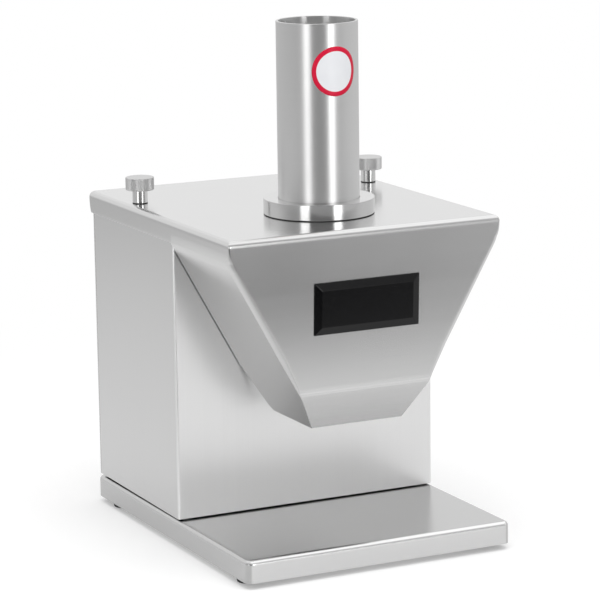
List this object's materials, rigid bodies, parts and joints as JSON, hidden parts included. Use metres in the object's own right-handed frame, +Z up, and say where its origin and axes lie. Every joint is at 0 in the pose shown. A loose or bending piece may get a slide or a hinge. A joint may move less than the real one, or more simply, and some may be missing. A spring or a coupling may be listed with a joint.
{
  "type": "electric sausage cutter",
  "caption": "Electric sausage cutter: folded steel case on a tray, lift-off hood with slanted chute, upright feed tube and flange, knurled nuts, spinning blade driven by a geared motor.",
  "frame": {"origin": "on the floor under the middle of the machine's outer box", "axes": "+Z up along the feed tube, -Y towards the user and the hood's front, +X to the machine's right as seen by the user"},
  "size_m": [0.22, 0.2778, 0.392],
  "materials": {
    "brushed_steel": "satin brushed stainless steel sheet and tube",
    "polished_steel": "turned and polished stainless steel",
    "satin_steel": "fine straight knurl on pale turned steel",
    "blade_steel": "ground blade steel",
    "gear_steel": "machined steel, lightly oiled",
    "core_steel": "dark laminated electrical steel",
    "winding_copper": "varnished copper winding on laminated steel",
    "zinc_plate": "zinc plated steel",
    "cast_alloy": "cast aluminium alloy",
    "grey_paint": "dark grey paint",
    "brass": "bright brass",
    "black_rubber": "matt black rubber",
    "black_gloss": "glossy black",
    "black_plastic": "moulded black plastic",
    "white_plastic": "moulded white plastic"
  },
  "bodies": {
    "frame": {"base_tray": "brushed_steel", "foot_front_left": "black_rubber", "foot_front_right": "black_rubber", "foot_rear_left": "black_rubber", "foot_rear_right": "black_rubber", "case_bolt_front_left": "zinc_plate", "case_bolt_front_right": "zinc_plate", "case_bolt_rear_left": "zinc_plate", "case_bolt_rear_right": "zinc_plate", "body_case": "brushed_steel", "rear_panel": "brushed_steel", "panel_screw_low_left": "zinc_plate", "panel_screw_low_right": "zinc_plate", "panel_screw_high_left": "zinc_plate", "panel_screw_high_right": "zinc_plate", "blade_deck": "brushed_steel", "cover_post_left": "polished_steel", "cover_post_right": "polished_steel", "shaft_seal": "black_rubber", "gearbox_case": "cast_alloy", "gearbox_lid": "cast_alloy", "gearbox_screw_front_left": "zinc_plate", "gearbox_screw_front_right": "zinc_plate", "gearbox_screw_rear_left": "zinc_plate", "gearbox_screw_rear_right": "zinc_plate", "output_bearing_lower": "gear_steel", "output_bearing_upper": "gear_steel", "motor_can": "grey_paint", "motor_end_cap": "cast_alloy", "motor_stator": "winding_copper", "run_capacitor": "white_plastic", "hood_sensor": "black_plastic", "mains_inlet": "black_plastic", "inlet_pin_block": "brass", "switch_housing": "black_plastic"},
    "hood": {"hood_shell": "brushed_steel", "feed_tube": "brushed_steel", "tube_flange": "brushed_steel", "flange_gasket": "black_rubber", "ring_screw_1": "zinc_plate", "ring_screw_2": "zinc_plate", "ring_screw_3": "zinc_plate", "nut_washer_left": "black_rubber", "nut_washer_right": "black_rubber", "name_plate": "black_gloss", "sensor_magnet": "black_plastic"},
    "left_nut": {"thumb_nut_left": "satin_steel"},
    "right_nut": {"thumb_nut_right": "satin_steel"},
    "rotor": {"output_shaft": "polished_steel", "output_gear": "gear_steel", "blade_hub": "polished_steel", "cutting_blade": "blade_steel", "blade_nut": "polished_steel"},
    "countershaft": {"layshaft": "gear_steel", "layshaft_gear": "gear_steel"},
    "motor_rotor": {"motor_shaft": "gear_steel", "motor_rotor_core": "core_steel", "motor_fan": "black_plastic"},
    "rocker": {"switch_rocker": "black_plastic"}
  },
  "joints": [
    {"name": "hood_lift", "type": "slide", "parent": "frame", "child": "hood", "axis": [0, 0, 1], "range_m": [0, 0.035]},
    {"name": "left_nut_turn", "type": "hinge", "parent": "hood", "child": "left_nut", "pos_m": [-0.0975, 0.0636, 0.2507], "axis": [0, 0, 1], "continuous": true},
    {"name": "right_nut_turn", "type": "hinge", "parent": "hood", "child": "right_nut", "pos_m": [0.0975, 0.0636, 0.2507], "axis": [0, 0, 1], "continuous": true},
    {"name": "rotor_spin", "type": "hinge", "parent": "frame", "child": "rotor", "pos_m": [0, 0.0131, 0.2365], "axis": [0, 0, 1], "continuous": true},
    {"name": "countershaft_spin", "type": "hinge", "parent": "frame", "child": "countershaft", "pos_m": [0.01898, 0.03633, 0.1948], "axis": [0, 0, 1], "continuous": true},
    {"name": "motor_spin", "type": "hinge", "parent": "frame", "child": "motor_rotor", "pos_m": [0, 0.0541, 0.1423], "axis": [0, 0, 1], "continuous": true},
    {"name": "rocker_tilt", "type": "hinge", "parent": "frame", "child": "rocker", "pos_m": [0.042, 0.1338, 0.0674], "axis": [1, 0, 0], "range_deg": [0, 18]}
  ],
  "couplings": [
    {"joint": "countershaft_spin", "follows": "rotor_spin", "ratio": -3},
    {"joint": "motor_spin", "follows": "rotor_spin", "ratio": 9}
  ]
}
